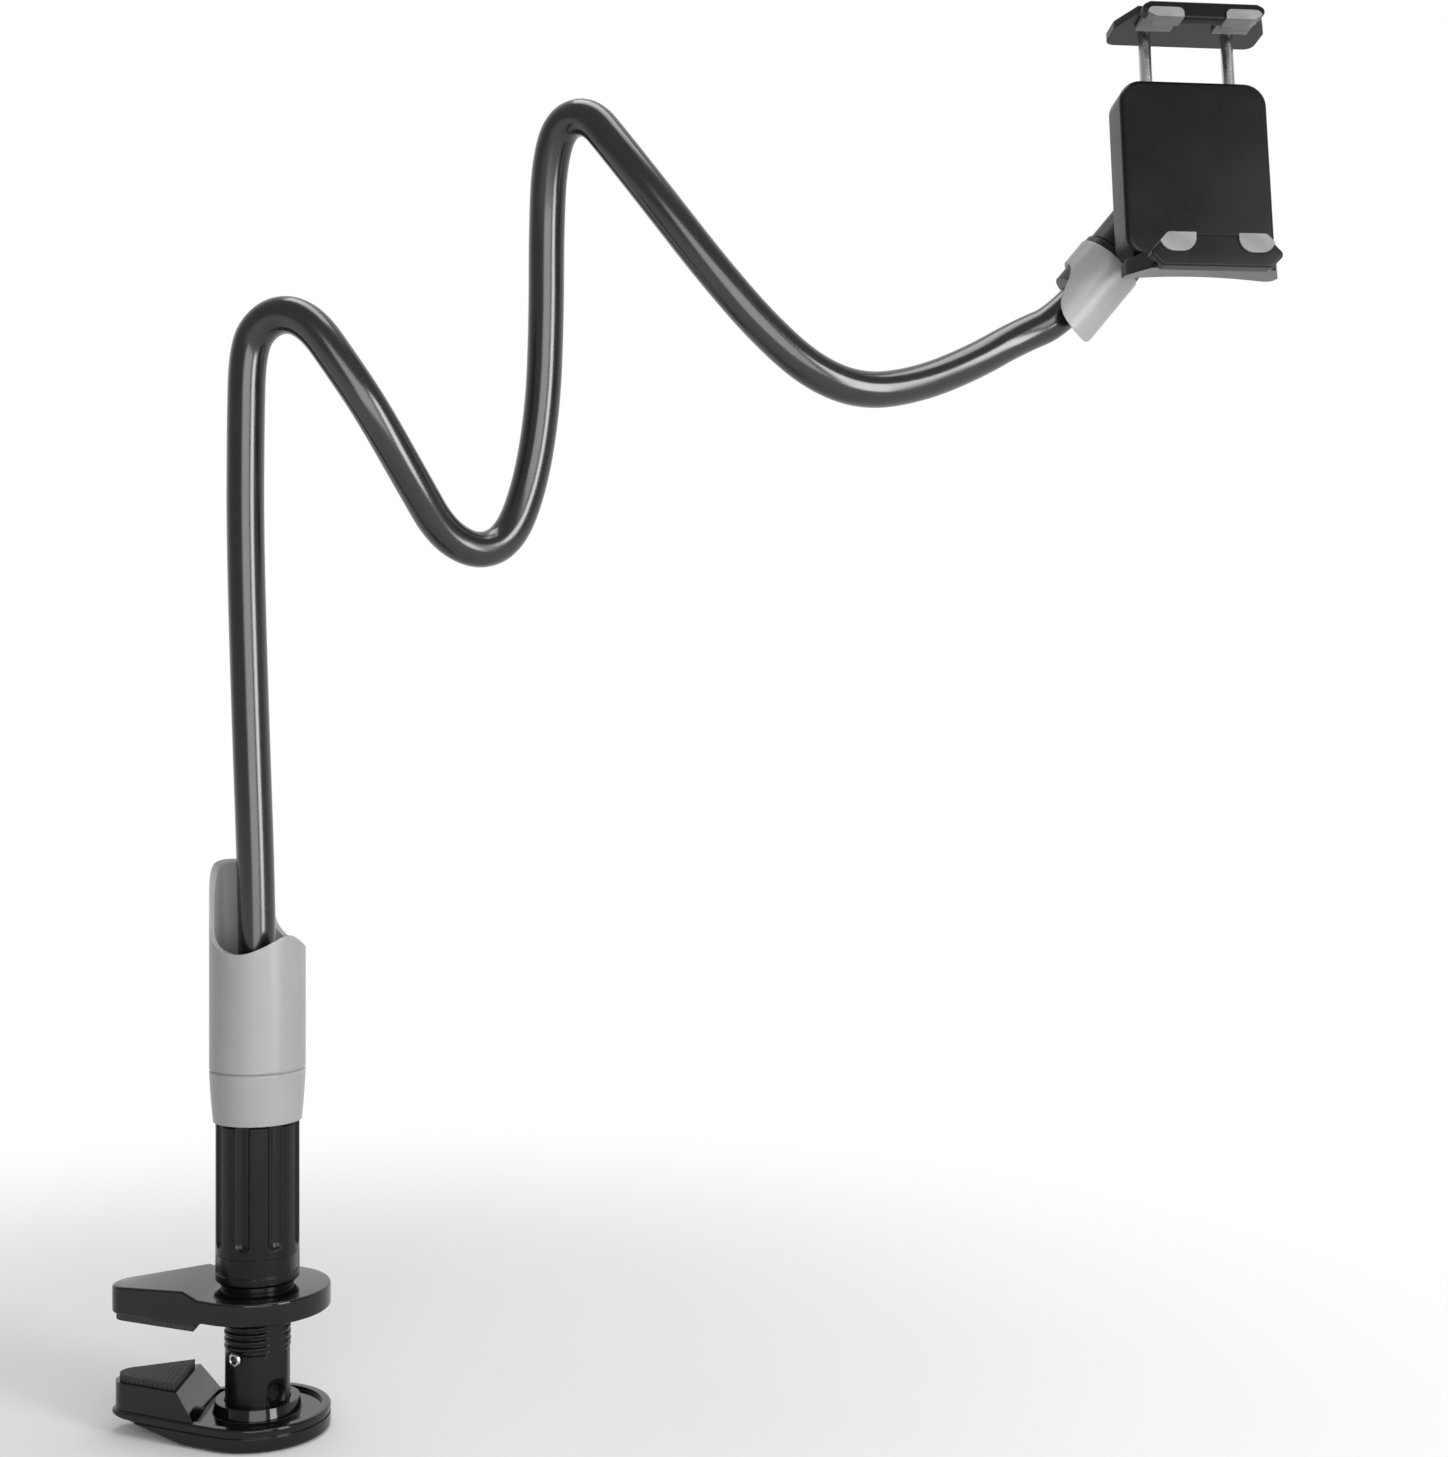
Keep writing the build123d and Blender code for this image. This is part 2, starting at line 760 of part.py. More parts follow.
rod_y = phone_back + (housing_t - cover_t) / 2
channel_low = housing_low + channel_floor
channel_top = housing_low + housing_h - guide_wall
channel_mid = (channel_low + channel_top) / 2
rod_spread = housing_w - 2 * rod_inset
screw_x = housing_w / 2 - screw_side_inset
screw_z = housing_h / 2 - screw_end_inset
screw_spots = [(x, housing_mid + z) for x in (-screw_x, screw_x) for z in (-screw_z, screw_z)]

# Clip housing: a moulded back with two spring channels, closed by a screwed cover
with BuildPart() as clip_housing:
    with BuildSketch(facing(clip, housing_back)):
        with Locations((0, housing_mid)):
            RectangleRounded(housing_w, housing_h, housing_corner)
    extrude(amount=housing_t)
    front = clip_housing.faces().sort_by(Axis(clip_middle, clip.y_dir))[0]
    fillet(front.edges(), radius=housing_edge)
    with BuildSketch(facing(clip, housing_back)):
        with Locations((0, housing_mid)):
            RectangleRounded(
                housing_w - 2 * cover_rim,
                housing_h - 2 * cover_rim,
                housing_corner - cover_rim,
            )
    extrude(amount=cover_t, mode=Mode.SUBTRACT)
    with BuildSketch(facing(clip, housing_back)):
        with Locations((-rod_spread / 2, channel_mid), (rod_spread / 2, channel_mid)):
            Rectangle(2 * channel_r, channel_top - channel_low)
    extrude(amount=housing_back - rod_y, mode=Mode.SUBTRACT)
    with BuildSketch(clip.offset(channel_low)):
        with Locations((-rod_spread / 2, rod_y), (rod_spread / 2, rod_y)):
            Circle(channel_r)
    extrude(amount=channel_top - channel_low, mode=Mode.SUBTRACT)
    with BuildSketch(clip.offset(channel_mid)):
        with Locations((-rod_spread / 2, rod_y), (rod_spread / 2, rod_y)):
            Circle(rod_r + running)
    extrude(amount=housing_h, mode=Mode.SUBTRACT)
    with BuildSketch(facing(clip, housing_back)):
        with Locations(*screw_spots):
            Circle(screw_r + running)
    extrude(amount=screw_head_t + screw_len + running, mode=Mode.SUBTRACT)
    neck_hole(neck_len + 5 * seat)
clip_housing.part.label = "clip_housing"
export_step(clip_housing.part, "parts/clip_housing.step")

with BuildPart() as clip_back_cover:
    with BuildSketch(neck_plane.offset(boss_start)):
        Circle(boss_r)
    extrude(amount=neck_len)
    with BuildSketch(facing(clip, housing_back)):
        with Locations((0, housing_mid)):
            Rectangle(housing_w, 2 * housing_h)
    extrude(amount=3 * housing_t, mode=Mode.SUBTRACT)
    with BuildSketch(facing(clip, housing_back)):
        with Locations((0, housing_mid)):
            RectangleRounded(
                housing_w - 2 * (cover_rim + seat),
                housing_h - 2 * (cover_rim + seat),
                housing_corner - cover_rim - seat,
            )
    extrude(amount=cover_t)
    with BuildSketch(facing(clip, housing_back)):
        with Locations(*screw_spots):
            Circle(screw_head_r + seat)
    extrude(amount=screw_head_t, mode=Mode.SUBTRACT)
    with BuildSketch(facing(clip, housing_back)):
        with Locations(*screw_spots):
            Circle(screw_r + seat)
    extrude(amount=cover_t, mode=Mode.SUBTRACT)
    neck_hole(2 * neck_len)
clip_back_cover.part.label = "clip_back_cover"
export_step(clip_back_cover.part, "parts/clip_back_cover.step")

for number, (spot_x, spot_z) in enumerate(screw_spots, start=1):
    with BuildPart() as cover_screw:
        with BuildSketch(facing(clip, housing_back)):
            with Locations((spot_x, spot_z)):
                Circle(screw_head_r)
        extrude(amount=screw_head_t)
        with BuildSketch(facing(clip, housing_back)):
            with Locations((spot_x, spot_z)):
                Circle(screw_r)
        extrude(amount=screw_head_t + screw_len)
    cover_screw.part.label = f"cover_screw_{number}"
    export_step(cover_screw.part, f"parts/cover_screw_{number}.step")

# Phone jaws: both are one design, the upper one upside down and with a lower lip
lip_in = -phone_back - clip_pad_t
lip_out = lip_in - lip_t
jaw_floor = -phone_w / 2 - clip_pad_t


def lip_outline(overlap, height):
    """A lip seen from the front, drawn into the open sketch: widest a little above its foot."""
    top = -phone_w / 2 + overlap
    middle = top - lip_mid_share * height
    Polygon(
        (lip_top_w / 2, top),
        (lip_mid_w / 2, middle),
        (lip_low_w / 2, top - height),
        (-lip_low_w / 2, top - height),
        (-lip_mid_w / 2, middle),
        (-lip_top_w / 2, top),
        align=None,
    )


def phone_pad(base, side, overlap, height):
    """One soft pad of a phone jaw: it lies on the jaw's floor and wraps over the lip to a round foot."""
    top = -phone_w / 2 + overlap
    front = lip_out - clip_pad_proud
    wrap = clip_pad_wrap * height
    with BuildPart() as pad:
        with BuildSketch(beside(base, side * clip_pad_spread / 2)):
            Polygon(
                (front, top - wrap),
                (front, top),
                (-phone_back, top),
                (-phone_back, -phone_w / 2),
                (phone_back, -phone_w / 2),
                (phone_back, jaw_floor),
                (lip_in, jaw_floor),
                (lip_in, top - clip_pad_t),
                (front + clip_pad_t, top - clip_pad_t),
                (front + clip_pad_t, top - wrap),
                align=None,
            )
        extrude(amount=clip_pad_w / 2, both=True)
        lengthwise = Axis(base.origin, base.y_dir)
        feet = pad.edges().filter_by(lengthwise).sort_by(lengthwise)[:4]
        foot_wall = wrap - clip_pad_t
        foot_r = min(clip_pad_foot * foot_wall, 0.96 * foot_wall)
        fillet(feet.sort_by(Axis(base.origin, base.z_dir))[:2], radius=foot_r)
        with BuildSketch(facing(base, 2 * phone_t)) as trim:
            lip_outline(overlap, height)
            fillet(trim.vertices(), radius=lip_corner)
        extrude(amount=4 * phone_t, mode=Mode.INTERSECT)
    return pad.part


def phone_jaw(base, overlap, height, rear_t, slope, arch, rear):
    """A phone jaw: a flared floor over an arched, sloping underside, with a lip and two pad seats."""
    under = jaw_floor - rear_t
    deep = under - arch - height
    half = jaw_rear_w / 2 + 1
    with BuildPart() as jaw:
        with BuildSketch(base.offset(deep)) as plan:
            with BuildLine():
                Polyline(
                    (-jaw_front_w / 2, lip_in),
                    (jaw_front_w / 2, lip_in),
                    (jaw_rear_w / 2, jaw_flare_y),
                    (jaw_rear_w / 2, rear),
                    (-jaw_rear_w / 2, rear),
                    (-jaw_rear_w / 2, jaw_flare_y),
                    close=True,
                )
            make_face()
            fillet(plan.vertices().group_by(Axis.Y)[1:], radius=jaw_corner)
        extrude(amount=jaw_floor - deep)
        with BuildSketch(facing(base, rear + 1)):
            with BuildLine():
                curve = ThreePointArc((-half, under - arch), (0, under), (half, under - arch))
                Polyline(curve @ 1, (half, deep - jaw_rear_w), (-half, deep - jaw_rear_w), curve @ 0)
            make_face()
        way = -base.y_dir * cos(radians(slope)) - base.z_dir * sin(radians(slope))
        extrude(amount=2 * housing_back, dir=way, mode=Mode.SUBTRACT)
        with BuildSketch(facing(base, lip_in)) as lip:
            lip_outline(overlap, height)
            fillet(lip.vertices(), radius=lip_corner)
        extrude(amount=lip_t)
        front = jaw.faces().sort_by(Axis(base.origin, base.y_dir))[0]
        fillet(front.edges(), radius=clip_jaw_edge)
        for side in (-1, 1):
            add(phone_pad(base, side, overlap, height), mode=Mode.SUBTRACT)
    return jaw.part


with BuildPart() as lower_clip_jaw:
    lower_rear = housing_back - lower_rear_inset
    add(phone_jaw(clip, lower_lip_overlap, lower_lip_h, lower_rear_t, lower_slope, lower_arch, lower_rear))
    with BuildSketch(clip.offset(jaw_floor)):
        with Locations((0, (phone_back + lower_rear) / 2)):
            RectangleRounded(housing_w - 1, lower_rear - phone_back - 2 * seat, housing_t / 4)
    extrude(amount=clip_pad_t)
lower_clip_jaw.part.label = "lower_clip_jaw"
export_step(lower_clip_jaw.part, "parts/lower_clip_jaw.step")

rod_top = -jaw_floor + rod_seat
rod_bottom = phone_w / 2 - rod_len

with BuildPart() as upper_clip_jaw:
    upper_rear = housing_back
    add(phone_jaw(upside_down, upper_lip_overlap, upper_lip_h, upper_rear_t, upper_slope, upper_arch, upper_rear))
    with BuildSketch(clip.offset(rod_top)):
        with Locations((-rod_spread / 2, rod_y), (rod_spread / 2, rod_y)):
            Circle(rod_r)
    extrude(amount=-2 * rod_seat, mode=Mode.SUBTRACT)
upper_clip_jaw.part.label = "upper_clip_jaw"
export_step(upper_clip_jaw.part, "parts/upper_clip_jaw.step")

for side_name, side in (("left", -1), ("right", 1)):
    lower_phone_pad = phone_pad(clip, side, lower_lip_overlap, lower_lip_h)
    lower_phone_pad.label = f"lower_clip_pad_{side_name}"
    export_step(lower_phone_pad, f"parts/lower_clip_pad_{side_name}.step")
    upper_phone_pad = phone_pad(upside_down, -side, upper_lip_overlap, upper_lip_h)
    upper_phone_pad.label = f"upper_clip_pad_{side_name}"
    export_step(upper_phone_pad, f"parts/upper_clip_pad_{side_name}.step")

    # A guide rod and the spring that pulls it down, one pair on each side
    with BuildPart() as guide_rod:
        with BuildSketch(clip.offset(rod_bottom)):
            with Locations((side * rod_spread / 2, rod_y)):
                Circle(rod_r)
        extrude(amount=rod_top - rod_bottom)
        with BuildSketch(clip.offset(rod_bottom)):
            with Locations((side * rod_spread / 2, rod_y)):
                Circle(rod_head_r)
        extrude(amount=rod_head_t)
    guide_rod.part.label = f"guide_rod_{side_name}"
    export_step(guide_rod.part, f"parts/guide_rod_{side_name}.step")

    spring_low = rod_bottom + rod_head_t + spring_end
    spring_high = channel_top - spring_end
    spring_h = spring_high - spring_low
    spring_foot = clip.from_local_coords((side * rod_spread / 2, rod_y, spring_low))
    with BuildPart() as clip_spring:
        with BuildLine() as coil:
            Helix(
                spring_h / spring_turns,
                spring_h,
                spring_r,
                center=spring_foot,
                direction=clip.z_dir,
            )
        with BuildSketch(Plane(coil.line @ 0, z_dir=coil.line % 0)):
            RegularPolygon(spring_wire_r, 6)
        sweep(is_frenet=True)
    clip_spring.part.label = f"clip_spring_{side_name}"
    export_step(clip_spring.part, f"parts/clip_spring_{side_name}.step")
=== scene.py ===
from math import cos, pi, radians, sin

import bmesh
import bpy
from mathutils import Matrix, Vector


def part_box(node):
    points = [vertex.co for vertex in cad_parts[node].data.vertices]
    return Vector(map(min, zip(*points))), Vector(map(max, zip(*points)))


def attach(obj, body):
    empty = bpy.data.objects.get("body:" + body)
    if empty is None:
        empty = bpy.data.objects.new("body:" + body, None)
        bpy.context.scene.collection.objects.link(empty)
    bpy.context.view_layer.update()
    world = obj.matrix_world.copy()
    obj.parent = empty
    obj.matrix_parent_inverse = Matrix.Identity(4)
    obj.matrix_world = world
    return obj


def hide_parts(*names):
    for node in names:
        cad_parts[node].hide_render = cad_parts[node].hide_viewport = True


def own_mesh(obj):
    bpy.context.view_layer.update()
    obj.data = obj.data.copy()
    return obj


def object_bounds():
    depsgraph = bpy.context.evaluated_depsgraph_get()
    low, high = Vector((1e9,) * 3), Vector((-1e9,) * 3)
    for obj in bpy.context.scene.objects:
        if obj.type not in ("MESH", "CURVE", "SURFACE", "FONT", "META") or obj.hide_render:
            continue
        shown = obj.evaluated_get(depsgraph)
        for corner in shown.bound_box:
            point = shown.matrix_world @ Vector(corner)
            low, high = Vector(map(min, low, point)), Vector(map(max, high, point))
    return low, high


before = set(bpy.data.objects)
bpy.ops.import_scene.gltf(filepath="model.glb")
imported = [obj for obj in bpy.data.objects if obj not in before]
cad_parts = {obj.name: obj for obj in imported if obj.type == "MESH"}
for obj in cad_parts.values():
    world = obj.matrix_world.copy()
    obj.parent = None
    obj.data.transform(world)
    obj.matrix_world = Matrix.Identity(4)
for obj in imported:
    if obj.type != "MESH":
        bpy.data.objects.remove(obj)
cad_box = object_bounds()


# Clamp jaws. Two teardrop mouldings in glossy black plastic, drawn together by the knob.
# They are smooth from a polished mould, with a faint haze, and their edges are painted a little lighter,
# partly rubbed and partly a painted edge highlight.
class Signal:
    """A socket in a material's tree: sums on it add Math nodes, and node() adds any other node."""

    def __init__(self, tree, socket=None):
        self.tree = tree
        self.socket = socket

    def node(self, kind, settings=None, inputs=None, output=0):
        made = self.tree.nodes.new(kind)
        for key, value in (settings or {}).items():
            setattr(made, key, value)
        for key, value in (inputs or {}).items():
            if isinstance(value, Signal):
                self.tree.links.new(value.socket, made.inputs[key])
            else:
                made.inputs[key].default_value = value
        return Signal(self.tree, made.outputs[output] if made.outputs else None)

    def math(self, operation, *values):
        return self.node("ShaderNodeMath", {"operation": operation}, dict(enumerate(values)))

    def __add__(self, other):
        return self.math("ADD", self, other)

    def __sub__(self, other):
        return self.math("SUBTRACT", self, other)

    def __rsub__(self, other):
        return self.math("SUBTRACT", other, self)

    def __mul__(self, other):
        return self.math("MULTIPLY", self, other)

    __radd__ = __add__

    def clamp(self):
        return self.node("ShaderNodeClamp", None, {"Value": self})

    def noise(self, place, size_mm, detail=2.0):
        settings = {"Vector": place, "Scale": 1000 / size_mm, "Detail": detail}
        return self.node("ShaderNodeTexNoise", None, settings)

    def mix(self, factor, first, second):
        return self.node("ShaderNodeMix", {"data_type": "RGBA"}, {0: factor, 6: first, 7: second}, 2)


def new_finish(name):
    """An empty material, with a signal to add nodes by and its Object coordinates."""
    material = bpy.data.materials.new(name)
    material.use_nodes = True
    material.node_tree.nodes.clear()
    start = Signal(material.node_tree)
    return material, start, start.node("ShaderNodeTexCoord", output="Object")


def close_finish(start, sockets):
    """Ends a material in one Principled shader."""
    shader = start.node("ShaderNodeBsdfPrincipled", None, sockets)
    start.node("ShaderNodeOutputMaterial", None, {"Surface": shader})


def rounded_edges(start, radius_mm):
    """Rounded normals near edges, and a mask of where they turn away from the face."""
    rounded = start.node("ShaderNodeBevel", {"samples": 6}, {"Radius": radius_mm / 1000})
    face = start.node("ShaderNodeNewGeometry", output="Normal")
    along = start.node("ShaderNodeVectorMath", {"operation": "DOT_PRODUCT"}, {0: rounded, 1: face}, "Value")
    return rounded, ((1 - along) * 5.0).clamp()


def moulded(name, colour, roughness, grain_mm=0.8, grain_depth=0.012, edge_mm=0.35, edge_wear_and_highlight=1.8, ior=1.33):
    """Moulded plastic: fine mould grain, cloudy gloss, and edges painted paler, partly as rubbing and partly
    as a painted edge highlight.
    """
    material, start, place = new_finish(name)
    rounded, edge = rounded_edges(start, edge_mm)
    grain = start.noise(place, grain_mm, 3.0)
    cloud = start.noise(place, 14.0)
    patches = start.noise(place, 3.0, 4.0)
    # Mask of rubbed edges that also serves as a painted edge highlight: it paints the edges paler and a
    # little rougher.
    worn_and_highlit_edges = (edge * patches * 1.3).clamp()
    pale = [min(1.0, edge_wear_and_highlight * channel + 0.01) for channel in colour] + [1.0]
    deep = [0.82 * channel for channel in colour] + [1.0]
    tone = start.mix(cloud, deep, list(colour) + [1.0])
    tone = start.mix(worn_and_highlit_edges, tone, pale)
    gloss = roughness + (cloud - 0.5) * 0.12 + (patches - 0.5) * 0.06 + worn_and_highlit_edges * 0.12
    bump = start.node("ShaderNodeBump", None, {
        "Strength": 0.35,
        "Distance": grain_depth / 1000,
        "Height": grain,
        "Normal": rounded,
    })
    close_finish(start, {"Base Color": tone, "Roughness": gloss, "Normal": bump, "IOR": ior})
    return material


def shape_nodes(name, **inputs):
    """Geometry nodes with the given inputs: a signal for each, and its identifier for a modifier."""
    tree = bpy.data.node_groups.new(name, "GeometryNodeTree")
    sockets = {"Geometry": "Geometry", **inputs}
    named = {
        label: tree.interface.new_socket(label, in_out="INPUT", socket_type=f"NodeSocket{kind}").identifier
        for label, kind in sockets.items()
    }
    tree.interface.new_socket("Geometry", in_out="OUTPUT", socket_type="NodeSocketGeometry")
    start = Signal(tree)
    given = {label: start.node("NodeGroupInput", output=label) for label in sockets}
    return start, given, named


def apply_shape(piece, tree, named, **values):
    """Adds geometry nodes to a piece as a live modifier."""
    modifier = piece.modifiers.new(tree.name, "NODES")
    modifier.node_group = tree
    for label, value in values.items():
        modifier[named[label]] = value


def smooth_skin():
    """Geometry nodes that join a skin's triangles and shade it smooth between its creases."""
    join_within = 0.000002
    start, given, named = shape_nodes("smooth_skin", Crease="Float")
    plain = start.node("GeometryNodeRemoveAttribute", None, {
        "Geometry": given["Geometry"],
        "Name": "custom_normal",
    })
    joined = start.node("GeometryNodeMergeByDistance", None, {"Geometry": plain, "Distance": join_within})
    soft = start.node("GeometryNodeSetShadeSmooth", {"domain": "FACE"}, {
        "Geometry": joined,
        "Shade Smooth": True,
    })
    fold = start.node("GeometryNodeInputMeshEdgeAngle", output="Unsigned Angle")
    done = start.node("GeometryNodeSetShadeSmooth", {"domain": "EDGE"}, {
        "Geometry": soft,
        "Shade Smooth": start.math("LESS_THAN", fold, given["Crease"]),
    })
    start.node("NodeGroupOutput", None, {"Geometry": done})
    return start.tree, named


skin_tree, skin_inputs = smooth_skin()


def dress(material, *nodes, crease=35):
    """Gives a finish and a smooth skin to CAD nodes."""
    for node in nodes:
        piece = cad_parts[node]
        for place in piece.material_slots:
            place.material = material
        apply_shape(piece, skin_tree, skin_inputs, Crease=radians(crease))


jaw_look = {"grain_mm": 0.9, "grain_depth": 0.008, "ior": 1.42}
gloss_black = moulded("gloss_jaw_plastic", (0.004, 0.004, 0.0042), 0.1, **jaw_look)
dress(gloss_black, "lower_jaw", "upper_jaw")


# Clamp pads. Two soft rubber soles on the jaws, cut with cross ribs for a firm bite.
# They are matte, with dust that stays between the ribs.
def ribbed_rubber(name, colour, rib_mm, axis, depth_mm, roughness):
    """Soft rubber with fine ribs across one axis and a dusty bloom."""
    material, start, place = new_finish(name)
    rounded, edge = rounded_edges(start, 0.3)
    along = start.node("ShaderNodeSeparateXYZ", None, {0: place}, axis)
    wave = start.math("SINE", along * (2000 * pi / rib_mm))
    bloom = start.noise(place, 5.0, 4.0)
    pores = start.noise(place, 0.25)
    dark = [0.75 * channel for channel in colour] + [1.0]
    pale = [1.25 * channel + 0.004 for channel in colour] + [1.0]
    tone = start.mix((bloom * 0.7 + wave * -0.15 + edge * 0.2).clamp(), dark, pale)
    bump = start.node("ShaderNodeBump", None, {
        "Strength": 0.6,
        "Distance": depth_mm / 1000,
        "Height": wave + pores * 0.4,
        "Normal": rounded,
    })
    gloss = roughness + (bloom - 0.5) * 0.15
    close_finish(start, {"Base Color": tone, "Roughness": gloss, "Normal": bump})
    return material


sole_ribs = {"rib_mm": 1.6, "axis": "X", "depth_mm": 0.12}
sole_rubber = ribbed_rubber("sole_rubber", (0.02, 0.02, 0.02), roughness=0.7, **sole_ribs)
dress(sole_rubber, "lower_pad", "upper_pad")


# Clamp post. A black moulded screw that stands in the lower jaw and carries the knob.
# Its two flats keep the upper jaw from turning and break the thread, and its foot has a moulding hole.
flat_turn = radians(-39)
flat_reach = 8.6


def post_mesh():
    """The post as a skin of rings: a trapezoid thread, cut off by the two flats."""
    crest, root, pitch = 9.7, 8.85, 2.0
    groove_half, flank = 0.12, 0.2
    foot, thread_low, top = -14.5, 7.6, 56.5
    foot_relief, run_in = 0.25, 2.0
    tip, tip_slope = 1.6, 0.9
    around, rows_a_turn = 192, 14
    thread_high = top - tip / 2
    rows = int((thread_high - thread_low) / pitch * rows_a_turn)
    heights = [foot, -10.0, -5.0, 0.0, 5.0, 7.0]
    heights += [thread_low + (thread_high - thread_low) * row / rows for row in range(rows + 1)] + [top]

    def radius(angle, height):
        if height < thread_low:
            reach = crest - foot_relief
        else:
            phase = ((height - thread_low) / pitch - angle / (2 * pi)) % 1.0
            slope = min(max((abs(phase - 0.5) - groove_half) / flank, 0.0), 1.0)
            begun = root + (height - thread_low) * run_in
            ended = crest - max(0.0, height - top + tip) * tip_slope
            reach = min(root + (crest - root) * slope, begun, ended)
        facing = abs(cos(angle - flat_turn))
        return min(reach, flat_reach / facing) if facing > 0.5 else reach

    mesh = bmesh.new()
    rings = []
    for height in heights:
        ring = []
        for step in range(around):
            angle = 2 * pi * step / around
            reach = radius(angle, height) / 1000
            ring.append(mesh.verts.new((reach * cos(angle), reach * sin(angle), height / 1000)))
        rings.append(ring)
    for low, high in zip(rings, rings[1:]):
        for step in range(around):
            after = (step + 1) % around
            mesh.faces.new((low[step], low[after], high[after], high[step]))
    mesh.faces.new(list(reversed(rings[0])))
    mesh.faces.new(rings[-1])
    return mesh


def as_piece(name, mesh, material, smooth=40):
    """A mesh as a piece at the origin, shaded smooth up to an angle."""
    data = bpy.data.meshes.new(name)
    mesh.to_mesh(data)
    mesh.free()
    data.materials.append(material)
    piece = bpy.data.objects.new(name, data)
    bpy.context.collection.objects.link(piece)
    data.shade_smooth()
    data.set_sharp_from_angle(angle=radians(smooth))
    return piece


def as_plain_mesh(piece):
    """Turns a piece with modifiers, or a curve, into a plain mesh piece of the same name."""
    bpy.context.view_layer.update()
    data = bpy.data.meshes.new_from_object(piece.evaluated_get(bpy.context.evaluated_depsgraph_get()))
    name = piece.name
    bpy.data.objects.remove(piece)
    plain = bpy.data.objects.new(name, data)
    bpy.context.collection.objects.link(plain)
    return plain


def aim(mesh, way, place):
    """Turns a mesh from Z to another way, then moves it to its place."""
    turn = Vector((0, 0, 1)).rotation_difference(way).to_matrix()
    bmesh.ops.rotate(mesh, cent=(0, 0, 0), matrix=turn, verts=mesh.verts)
    bmesh.ops.translate(mesh, vec=place, verts=mesh.verts)


def cut_away(piece, cutter):
    """Cuts one piece out of another and deletes the one that cut."""
    cut = piece.modifiers.new("cut", "BOOLEAN")
    cut.operation = "DIFFERENCE"
    cut.solver = "EXACT"
    cut.object = cutter
    piece = as_plain_mesh(piece)
    bpy.data.objects.remove(cutter)
    return piece


thread_black = moulded("thread_plastic", (0.006, 0.006, 0.0063), 0.28, grain_depth=0.01, edge_mm=0.2)
thread_post = as_piece("threaded_post", post_mesh(), thread_black)
hole_r, hole_deep, hole_z = 0.0033, 0.006, -0.005
moulding_hole = bmesh.new()
hole_ends = {"radius1": hole_r, "radius2": hole_r, "depth": hole_deep}
bmesh.ops.create_cone(moulding_hole, cap_ends=True, segments=40, **hole_ends)
flat_way = Vector((cos(flat_turn), sin(flat_turn), 0))
aim(moulding_hole, flat_way, flat_way * (flat_reach / 1000) + Vector((0, 0, hole_z)))
thread_post = cut_away(thread_post, as_piece("moulding_hole", moulding_hole, thread_black))
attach(thread_post, "clamp_base")
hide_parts("clamp_post")


# Stop screw. A small socket screw of plated steel, driven into the post below the thread.
# It keeps the upper jaw off the lower one, and its turned head has a dark socket.
def drawn_steel(name, colour, roughness, stretch):
    """Steel with drawing lines along the part and dull patches."""
    material, start, place = new_finish(name)
    rounded, edge = rounded_edges(start, 0.15)
    lines = start.noise(start.node("ShaderNodeMapping", None, {"Vector": place, "Scale": stretch}), 1.0, 3.0)
    dull = start.noise(place, 2.0, 3.0)
    dark = [0.7 * channel for channel in colour] + [1.0]
    tone = start.mix((lines * 0.6 + dull * 0.3 + edge * 0.4).clamp(), dark, list(colour) + [1.0])
    bump = start.node("ShaderNodeBump", None, {
        "Strength": 0.2,
        "Distance": 0.00003,
        "Height": lines,
        "Normal": rounded,
    })
    gloss = roughness + (dull - 0.5) * 0.1 + (lines - 0.5) * 0.1
    close_finish(start, {"Base Color": tone, "Roughness": gloss, "Metallic": 1.0, "Normal": bump})
    return material


def turned(profile):
    """A piece turned about Z from its radii and heights in mm."""
    mesh = bmesh.new()
    chain = [mesh.verts.new((x / 1000, 0, z / 1000)) for x, z in profile]
    runs = [mesh.edges.new(pair) for pair in zip(chain, chain[1:])]
    bmesh.ops.spin(mesh, geom=chain + runs, axis=(0, 0, 1), cent=(0, 0, 0), angle=2 * pi, steps=32)
    bmesh.ops.remove_doubles(mesh, verts=mesh.verts, dist=0.000002)
    bmesh.ops.recalc_face_normals(mesh, faces=mesh.faces)
    return mesh


bright_steel = drawn_steel("plated_steel", (0.62, 0.62, 0.63), 0.26, (2.0, 2.0, 0.1))
black_steel = drawn_steel("blackened_steel", (0.08, 0.08, 0.084), 0.4, (2.0, 2.0, 2.0))
stop_mesh = turned([
    (0, 0.1), (0.9, 0.15), (1.15, 0.8), (1.35, 1.0), (1.75, 0.9), (2.1, 0.5),
    (2.1, 0), (1.05, 0), (1.05, -5.7), (0.75, -6), (0, -6),
])
socket_r, stop_reach, stop_z = 0.00112, 0.0097, 0.0062
for face in stop_mesh.faces:
    centre = face.calc_center_median()
    face.material_index = int(centre.z > 0 and centre.xy.length < socket_r)
stop_turn = radians(-117)
stop_way = Vector((cos(stop_turn), sin(stop_turn), 0))
aim(stop_mesh, stop_way, stop_way * stop_reach + Vector((0, 0, stop_z)))
stop_piece = as_piece("socket_screw", stop_mesh, bright_steel, smooth=30)
stop_piece.data.materials.append(black_steel)
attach(stop_piece, "clamp_base")
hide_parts("stop_screw")


# Knob. A long fluted nut in satin black plastic that runs on the post and pushes the upper jaw.
# It bears on a slippery washer, and hands have rubbed its flutes a little smoother; their edges are painted
# paler, partly rubbed and partly a painted highlight.
knob_black = moulded("knob_plastic", (0.003, 0.003, 0.0032), 0.24, grain_mm=0.9, edge_mm=0.4)
dress(knob_black, "clamp_knob", "thrust_washer")


# Arm root. A moulded plug that turns in the top of the knob, held there by a sprung steel ring.
# The ring is rolled from wire and lies in a groove, and the plug takes the foot of the arm.
dress(moulded("root_plastic", (0.006, 0.006, 0.006), 0.36), "arm_root_plug")
dress(drawn_steel("ring_steel", (0.5, 0.5, 0.5), 0.3, (2.0, 2.0, 0.1)), "swivel_ring")
